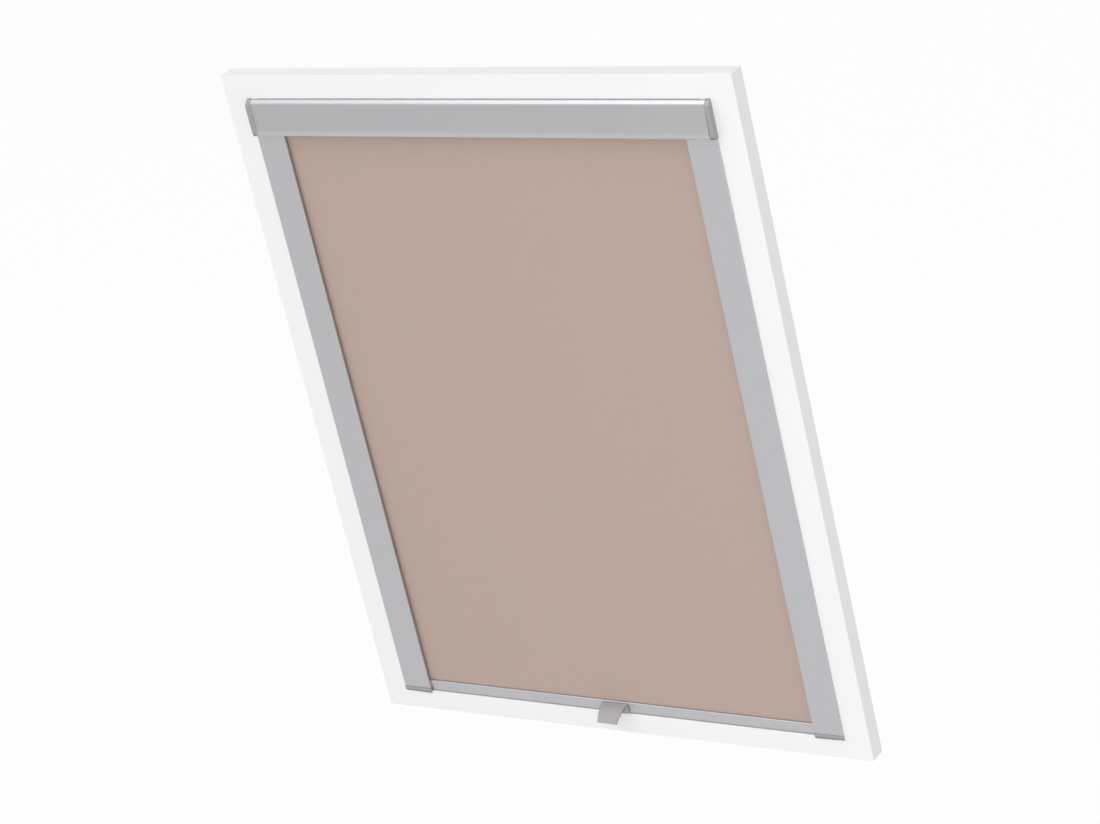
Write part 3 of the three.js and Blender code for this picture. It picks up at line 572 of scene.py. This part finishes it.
def screw_shape(head_radius, head_height, radius, length, point, thread_height, pitch):
    """A screw along +X, with its seat at zero and its head towards -X."""
    shape = bmesh.new()
    crown = []
    for step in range(crown_steps + 1):
        angle = math.pi / 2 * step / crown_steps
        crown.append(circle(shape, head_radius - crown_height * (1 - math.sin(angle)),
                            -head_height + crown_height * (1 - math.cos(angle)), screw_sides))
    shank = []
    rows = round(length / pitch * thread_rows_per_turn)
    for row in range(rows):
        place = length * row / rows
        taper = min(1, (length - place) / point)
        ring = circle(shape, 1, place, screw_sides)
        for side, corner in enumerate(ring):
            phase = (place / pitch - side / screw_sides) % 1
            ridge = max(0, 1 - abs(phase * 2 - 1) / ridge_share) * thread_height
            reach = (radius - thread_height + ridge) * taper
            corner.co.y *= reach
            corner.co.z *= reach
        shank.append(ring)
    tip = [shape.verts.new((length, 0, 0))]
    skin(shape, [*crown, circle(shape, head_radius, 0, screw_sides), *shank, tip])
    cross_recess(shape, crown[0], -head_height, head_radius, head_height)
    bmesh.ops.recalc_face_normals(shape, faces=shape.faces)
    return shape


zinc = plated_steel()


def fit_screw(node, body, toward, head_radius, head_height, shank):
    """A screw that points where the CAD screw points, with its seat where that one's is."""
    shape = screw_shape(head_radius, head_height, **shank)
    low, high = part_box(node)
    middle = (low + high) / 2
    turn = Vector((1, 0, 0)).rotation_difference(toward).to_matrix().to_4x4()
    length = (high - low).dot(Vector(map(abs, toward)))
    seat = middle + toward * (head_height - length / 2)
    bmesh.ops.transform(shape, matrix=Matrix.Translation(seat) @ turn, verts=shape.verts)
    piece(f"{node}_threaded", shape, body, "steel", zinc, node)


wood_head_radius = 0.0035
wood_head_height = 0.0017
wood_shank = {
    "radius": 0.00175, "length": 0.016, "point": 0.004, "thread_height": 0.0004, "pitch": 0.0013,
}
for side, toward in (("left", Vector((-1, 0, 0))), ("right", Vector((1, 0, 0)))):
    nodes = [f"rail_screw_{side}_{count}" for count in (1, 2, 3)]
    nodes += [f"bracket_screw_{side}_{count}" for count in (1, 2)]
    for node in nodes:
        fit_screw(node, "window", toward, wood_head_radius, wood_head_height, wood_shank)

machine_head_radius = 0.0024
machine_head_height = 0.0013
machine_low, machine_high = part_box("handle_screw_left")
machine_shank = {
    "radius": 0.0012, "length": machine_high.y - machine_low.y - machine_head_height,
    "point": 0.0012, "thread_height": 0.00018, "pitch": 0.0005,
}
for side in ("left", "right"):
    fit_screw(f"handle_screw_{side}", "bar", Vector((0, -1, 0)), machine_head_radius,
              machine_head_height, machine_shank)

# Cassette
# A front cover snapped over a back profile, both pressed in aluminium. The cover is brushed and
# anodised, with a bright sloping shoulder and a lower lip that sweeps forward. Lacquered caps
# finish its ends, and hang on two zinc-plated brackets that are screwed to the jambs.

cover_ease = 0.00025
cover_light = srgb(190, 190, 192)
cover_dark = srgb(185, 185, 187)
cover_clearance = 0.00001
back_ease = 0.0003
cap_ease = 0.0002
cap_rim_radius = 0.0015
rim_cut_depth = 0.0021
rim_cut_width = 0.0011
cap_light = srgb(166, 165, 167)
cap_dark = srgb(160, 159, 161)
# painted shade: the darker grey of the end caps' downward faces
cap_painted_shade = srgb(131, 130, 132)
seat_gap = 0.0003
bracket_ease = 0.00025

cover_aluminium = drawn_aluminium("cover_aluminium", x_axis, cover_light, cover_dark,
                                  metallic=0.9, roughness=0.3)
cover_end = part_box("cassette_front_cover")[1].x
rim_inner = cover_end + seat_gap
rim_back = jamb_low.y - seat_gap
cover_shape = cad_shape("cassette_front_cover")
for corner in cover_shape.verts:
    if abs(corner.co.x) > cover_end - same_place:
        corner.co.x = math.copysign(rim_inner - cover_clearance, corner.co.x)
cover_faces = BVHTree.FromBMesh(cover_shape)
cover = ease(cover_shape, cover_ease, chosen=is_long)
piece("cassette_cover_brushed", cover, "window", "cover_aluminium", cover_aluminium,
      "cassette_front_cover")

plain_aluminium = drawn_aluminium("plain_aluminium", x_axis, rail_light, rail_dark)
back = ease(cad_shape("cassette_back_profile"), back_ease, chosen=is_long)
piece("cassette_back_anodised", back, "window", "anodised_aluminium", plain_aluminium,
      "cassette_back_profile")


def is_rim_outer(edge):
    return all(abs(v.co.x) > rim_inner + same_place and v.co.y < rim_back - same_place
               for v in edge.verts)


def is_rim_inner(edge):
    return all(abs(abs(v.co.x) - rim_inner) < same_place and v.co.y < rim_back - same_place
               for v in edge.verts)


def is_off_rim(edge):
    return not is_rim_outer(edge) and not is_rim_inner(edge)


def face_at(faces, x, z):
    """How far forward the faces are at a place, or nothing where none is there."""
    hit = faces.ray_cast(Vector((x, cad_box[0][1], z)), Vector((0, 1, 0)))[0]
    return hit.y if hit else None


def cut_rim(cap):
    """Cuts the rim's inner edge back to the cover's face, and no deeper."""
    cap_faces = BVHTree.FromBMesh(cap)
    edges = [edge for edge in cap.edges if is_sharp(edge) and is_rim_inner(edge)]
    cut = bmesh.ops.bevel(cap, geom=edges, offset=rim_cut_depth, segments=1, affect="EDGES")
    for corner in cut["verts"]:
        outward = math.copysign(1, corner.co.x)
        if abs(abs(corner.co.x) - rim_inner - rim_cut_depth) < same_place:
            corner.co.x = outward * (rim_inner + rim_cut_width)
        elif abs(abs(corner.co.x) - rim_inner) < same_place:
            cover_face = face_at(cover_faces, 0, corner.co.z)
            rim_face = face_at(cap_faces, corner.co.x + outward * rim_cut_width, corner.co.z)
            if cover_face is not None and rim_face is not None:
                corner.co.y = min(corner.co.y, max(cover_face, rim_face))


# The caps' downward faces get a darker grey, which is painted shade.
cap_plastic = moulded_plastic("cap_plastic", cap_light, cap_dark, roughness=0.38, metallic=0.3,
                              painted_shade=cap_painted_shade)
for side in ("left", "right"):
    cap = ease(cad_shape(f"cassette_end_cap_{side}"), cap_ease, steps=2, chosen=is_off_rim)
    ease(cap, cap_rim_radius, steps=4, chosen=is_rim_outer)
    cut_rim(cap)
    piece(f"cassette_end_cap_{side}_moulded", cap, "window", "cap_plastic", cap_plastic,
          f"cassette_end_cap_{side}")
    bracket = ease(cad_shape(f"mounting_bracket_{side}"), bracket_ease)
    piece(f"mounting_bracket_{side}_pressed", bracket, "window", "steel", zinc,
          f"mounting_bracket_{side}")

# Roller
# An aluminium tube on two moulded plugs. The left plug turns on a steel pin. On the right a fixed
# shaft, keyed into the end cap, carries a collar, and the torsion spring runs from it to the plug
# that drives the tube.

inner_ease = 0.0003
inner_light = srgb(122, 121, 124)
inner_dark = srgb(112, 111, 114)
collar_light = srgb(104, 103, 106)
collar_dark = srgb(96, 95, 98)

inner_plastic = moulded_plastic("inner_plastic", inner_light, inner_dark)
collar_plastic = moulded_plastic("collar_plastic", collar_light, collar_dark)
for node, body, slot, finish in (
    ("roller_tube", "roller", "anodised_aluminium", plain_aluminium),
    ("roller_idler_plug", "roller", "inner_plastic", inner_plastic),
    ("roller_bearing_plug", "roller", "inner_plastic", inner_plastic),
    ("roller_idler_pin", "roller", "steel", zinc),
    ("spring_drive_plug", "roller", "inner_plastic", inner_plastic),
    ("spring_shaft", "window", "steel", zinc),
    ("spring_anchor_collar", "window", "dark_plastic", collar_plastic),
):
    piece(f"{node}_turned", ease(cad_shape(node), inner_ease), body, slot, finish, node)

# Torsion spring
# Spring steel wire wound in one open coil, whose end curls sit on the collar and on the drive
# plug. It is oiled, so it is darker and shinier than the plated parts.

spring_curls = 38
spring_wire = 0.0016
steps_per_curl = 28
wire_sides = 12
spring_light = srgb(118, 120, 124)
spring_dark = srgb(84, 86, 91)
oiled_roughness = 0.2
film_roughness = 0.15
film_height = 0.000006


def oiled_steel():
    """Spring steel under an uneven film of oil."""
    finish, place = new_finish("oiled_spring_steel")
    film = noise(finish, place, scale=420, detail=4)
    return surface(finish, {
        "Base Color": mixed(finish, film, spring_dark, spring_light),
        "Metallic": 1.0,
        "Roughness": oiled_roughness + film * film_roughness,
        "Normal": bumped(finish, film, film_height),
    })


def coil(low, high):
    """One unbroken wire wound about X, which fills the box from low to high."""
    shape = bmesh.new()
    axis_y, axis_z = (low.y + high.y) / 2, (low.z + high.z) / 2
    radius = (high.y - low.y - spring_wire) / 2
    start, reach = low.x + spring_wire / 2, high.x - low.x - spring_wire
    slope = math.atan2(reach / spring_curls, 2 * math.pi * radius)
    steps = spring_curls * steps_per_curl
    round_wire = [2 * math.pi * side / wire_sides for side in range(wire_sides)]
    rings = []
    for step in range(steps + 1):
        angle = 2 * math.pi * step / steps_per_curl
        outward = Vector((0, math.cos(angle), math.sin(angle)))
        around = Vector((0, -math.sin(angle), math.cos(angle)))
        across = Vector((1, 0, 0)) * math.cos(slope) - around * math.sin(slope)
        middle = Vector((start + reach * step / steps, axis_y, axis_z)) + outward * radius
        rings.append([
            shape.verts.new(
                middle + (outward * math.cos(a) + across * math.sin(a)) * spring_wire / 2)
            for a in round_wire
        ])
    skin(shape, rings)
    shape.faces.new(rings[0])
    shape.faces.new(rings[-1])
    bmesh.ops.recalc_face_normals(shape, faces=shape.faces)
    return shape


spring_steel = oiled_steel()
piece("torsion_spring_wound", coil(*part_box("torsion_spring")), "window", "spring_steel",
      spring_steel, "torsion_spring")

# Cloth
# One length of plain woven blackout cloth, 551 mm wide. Two and a half turns stay on the tube when
# the blind is down, the outer one tucked in. The rest hangs flat under the spring's pull to the
# rod in the bottom bar.

cloth_thickness = 0.0004
wind_turns = 2.5
wind_pitch = 0.00085
wind_tuck = 0.00013
wind_steps = 72
thread_pitch = 0.0005
weave_height = 0.00006
cloth_light = srgb(190, 169, 159)
cloth_dark = srgb(186, 165, 155)
cloth_columns = 60
cloth_rows = 80
slack = 0.00025
slack_wave = 0.17
slack_slant = 0.9
thread_tone_across = 900
thread_tone_along = 9


def woven_cloth():
    """Plain weave: threads pass over and under each other, with a slight unevenness in each."""
    finish, place = new_finish("blackout_cloth")
    warp, weft = (
        finish.add("ShaderNodeSeparateXYZ", inputs={"Vector": place}, output=axis) / thread_pitch
        for axis in ("X", "Z")
    )
    warp_arch = 1 - abs(warp % 1 * 2 - 1)
    weft_arch = 1 - abs(weft % 1 * 2 - 1)
    over = ((warp - warp % 1 + weft - weft % 1 + 0.5) % 2) > 1
    height = over * warp_arch + (1 - over) * weft_arch
    across, along = thread_tone_across, thread_tone_along
    warp_tone = noise(finish, stretched(finish, place, (across, across, along)), scale=1, detail=1)
    weft_tone = noise(finish, stretched(finish, place, (along, across, across)), scale=1, detail=1)
    return surface(finish, {
        "Base Color": mixed(finish, (warp_tone + weft_tone) * 0.5, cloth_dark, cloth_light),
        "Roughness": 0.88,
        "Specular IOR Level": 0.25,
        "Sheen Weight": 0.08,
        "Normal": bumped(finish, height, weave_height),
    })


cloth = woven_cloth()
cloth_low, cloth_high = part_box("fabric_sheet")
cloth_middle = (cloth_low.y + cloth_high.y) / 2
cloth_width = cloth_high.x - cloth_low.x
cloth_drop = cloth_high.z - cloth_low.z
tube_low, tube_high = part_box("roller_tube")
line_y, line_z = (tube_low.y + tube_high.y) / 2, (tube_low.z + tube_high.z) / 2
wind_radius = line_y - cloth_middle

roll = bmesh.new()
strip = []
for step in range(round(wind_turns * wind_steps) + 1):
    turns = step / wind_steps
    angle = math.pi - turns * 2 * math.pi
    tucked = wind_tuck * math.sin(math.pi * min(turns, 1))
    corners = []
    for x, side in ((cloth_low.x, 1), (cloth_high.x, 1), (cloth_high.x, -1), (cloth_low.x, -1)):
        reach = wind_radius - wind_pitch * turns - tucked + side * cloth_thickness / 2
        y, z = line_y + reach * math.cos(angle), line_z + reach * math.sin(angle)
        corners.append(roll.verts.new((x, y, z)))
    strip.append(corners)
skin(roll, strip)
roll.faces.new(strip[0])
roll.faces.new(strip[-1])
bmesh.ops.recalc_face_normals(roll, faces=roll.faces)
wound = piece("cloth_on_roller", roll, "roller", "blind_cloth", cloth, "fabric_on_roller")

drop = bmesh.new()
faces_of_cloth = []
for side in (-1, 1):
    grid = []
    for row in range(cloth_rows + 1):
        z = cloth_low.z + cloth_drop * row / cloth_rows
        held = math.sin(math.pi * row / cloth_rows)
        line = []
        for column in range(cloth_columns + 1):
            x = cloth_low.x + cloth_width * column / cloth_columns
            ripple = slack * held * math.sin(2 * math.pi * (x / slack_wave + z * slack_slant))
            y = cloth_middle + ripple + side * cloth_thickness / 2
            line.append(drop.verts.new((x, y, z)))
        grid.append(line)
    faces_of_cloth.append(grid)
for grid in faces_of_cloth:
    for low_line, high_line in zip(grid, grid[1:]):
        for i in range(cloth_columns):
            drop.faces.new((low_line[i], low_line[i + 1], high_line[i + 1], high_line[i]))
rims = []
for grid in faces_of_cloth:
    rim = [*grid[0], *(line[-1] for line in grid[1:]), *reversed(grid[-1][:-1])]
    rim += [line[0] for line in reversed(grid[1:-1])]
    rims.append(rim)
skin(drop, rims)
bmesh.ops.recalc_face_normals(drop, faces=drop.faces)
sheet = piece("cloth_sheet", drop, "window", "blind_cloth", cloth, "fabric_sheet")
slide = next(joint for joint in frame["joints"] if joint["name"] == "bar_slide")
travel = slide["range_m"][1]
1 - travel / cloth_drop
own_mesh(sheet)

# Bottom bar
# A pressed and anodised aluminium section with eased edges. The cloth goes through a close slot to
# its edge rod in the upper chamber, and the tongues of the two moulded sliders plug the lower
# hollow.

bar_ease = 0.0003
bar_light = srgb(195, 194, 197)
bar_dark = srgb(189, 188, 191)
slot_reach = 0.0006
slot_gap = 0.00005
rod_ease = 0.0002
slider_ease = 0.0004


def is_off_slot(edge):
    return is_long(edge) and any(abs(v.co.y - cloth_middle) > slot_reach for v in edge.verts)


bar_aluminium = drawn_aluminium("bar_aluminium", x_axis, bar_light, bar_dark)
bar_shape = cad_shape("bottom_bar")
for corner in bar_shape.verts:
    beyond = corner.co.y - cloth_middle
    if abs(beyond) < slot_reach:
        corner.co.y = cloth_middle + math.copysign(cloth_thickness / 2 + slot_gap, beyond)
bar = ease(bar_shape, bar_ease, chosen=is_off_slot)
piece("bottom_bar_anodised", bar, "bar", "anodised_aluminium", bar_aluminium, "bottom_bar")
rod = ease(cad_shape("fabric_edge_rod"), rod_ease)
piece("fabric_edge_rod_drawn", rod, "bar", "inner_plastic", inner_plastic, "fabric_edge_rod")
for side in ("left", "right"):
    slider = ease(cad_shape(f"bar_slider_{side}"), slider_ease)
    piece(f"bar_slider_{side}_moulded", slider, "bar", "inner_plastic", inner_plastic,
          f"bar_slider_{side}")

# Brakes
# A felt pad in each slider, pressed against the back of the rail by a bowed leaf of spring steel,
# holds the bar at any height.

felt_light = srgb(86, 83, 86)
felt_dark = srgb(58, 56, 59)
felt_stretch = 2.2
fibre_share = 0.7
felt_height = 0.00012
felt_ease = 0.0006
leaf_ease = 0.0001


def wool_felt():
    """Felt: matted fibres in tufts."""
    finish, place = new_finish("wool_felt")
    fibres = noise(finish, stretched(finish, place, (1, 1, felt_stretch)), scale=1700,
                   detail=5, roughness=0.7)
    tufts = noise(finish, place, scale=600)
    return surface(finish, {
        "Base Color": mixed(finish, blended(fibres, tufts, fibre_share), felt_dark, felt_light),
        "Roughness": 0.97,
        "Specular IOR Level": 0.1,
        "Sheen Weight": 0.4,
        "Normal": bumped(finish, fibres + tufts, felt_height),
    })


felt = wool_felt()
for side in ("left", "right"):
    pad = ease(cad_shape(f"brake_pad_{side}"), felt_ease, steps=4)
    piece(f"brake_pad_{side}_felt", pad, "bar", "felt", felt, f"brake_pad_{side}")
    leaf = ease(cad_shape(f"brake_spring_{side}"), leaf_ease)
    piece(f"brake_spring_{side}_bowed", leaf, "bar", "spring_steel", spring_steel,
          f"brake_spring_{side}")

# Pull handle
# A grey moulding screwed to the front of the bar: a plate, a lip that curves forward and narrows
# to its tip, and three ribs under it. Its sides and downward faces are a darker grey, painted
# shade.

handle_ease = 0.0004
handle_weld = 0.0001
handle_light = srgb(176, 174, 178)
handle_dark = srgb(170, 168, 172)
# painted shade: the darker grey of the handle's sides and downward faces, and how far a face turns
# sideways before it gets it
handle_painted_shade = srgb(148, 146, 150)
handle_painted_shade_beside = 0.6
boss_wall = 0.0004


def is_lip_edge(edge):
    """An edge of the handle's upper face, and not of a bore below it."""
    clear = all(v.co.z > machine_high.z + boss_wall or v.co.y < machine_low.y for v in edge.verts)
    return clear and any(face.normal.z > painted_shade_tilt for face in edge.link_faces)


handle_plastic = moulded_plastic("handle_plastic", handle_light, handle_dark, painted_shade=handle_painted_shade,
                                 painted_shade_beside=handle_painted_shade_beside)
handle_shape = cad_shape("pull_handle")
bmesh.ops.remove_doubles(handle_shape, verts=handle_shape.verts, dist=handle_weld)
handle = ease(handle_shape, handle_ease, chosen=is_lip_edge)
piece("pull_handle_moulded", handle, "bar", "handle_plastic", handle_plastic, "pull_handle")
